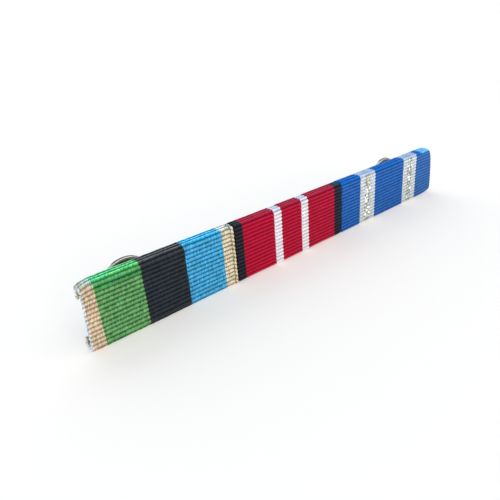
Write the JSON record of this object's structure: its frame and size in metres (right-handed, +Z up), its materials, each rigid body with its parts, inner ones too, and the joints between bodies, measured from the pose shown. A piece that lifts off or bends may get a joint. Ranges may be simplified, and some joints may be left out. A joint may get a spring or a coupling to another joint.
{
  "type": "ribbon bar",
  "caption": "Upright bar of ribbed, striped medal ribbons folded over a metal plate, with pins and round spring clutches behind to fasten it to cloth.",
  "frame": {"origin": "on the ground under the middle of the whole bar, at the bottom centre of its bounding box", "axes": "+X along the bar, to the right for someone who faces it; the front of the ribbons faces -Y and the pins point to +Y; +Z up, as worn"},
  "size_m": [0.1016, 0.0104, 0.0127],
  "materials": {
    "left_ribbon_cloth": "ribbed weave in buff, green, black, light blue and buff stripes",
    "middle_ribbon_cloth": "ribbed weave in crimson with black edges and two white stripes",
    "right_ribbon_cloth": "ribbed weave in blue with two white stripes that hold metal thread",
    "bar_steel": "plain plated steel",
    "clutch_nickel": "bright nickel plate, a little dull on the flat"
  },
  "bodies": {
    "bar": {"mounting_bar": "bar_steel", "ribbon_left": "left_ribbon_cloth", "ribbon_middle": "middle_ribbon_cloth", "ribbon_right": "right_ribbon_cloth"},
    "clutch_left": {"clutch_disc_left": "clutch_nickel", "clutch_spring_left": "clutch_nickel"},
    "clutch_right": {"clutch_disc_right": "clutch_nickel", "clutch_spring_right": "clutch_nickel"}
  },
  "joints": [
    {"name": "clutch_left_slide", "type": "slide", "parent": "bar", "child": "clutch_left", "axis": [0, 1, 0], "range_m": [-0.0027, 0.007]},
    {"name": "clutch_right_slide", "type": "slide", "parent": "bar", "child": "clutch_right", "axis": [0, 1, 0], "range_m": [-0.0027, 0.007]}
  ]
}
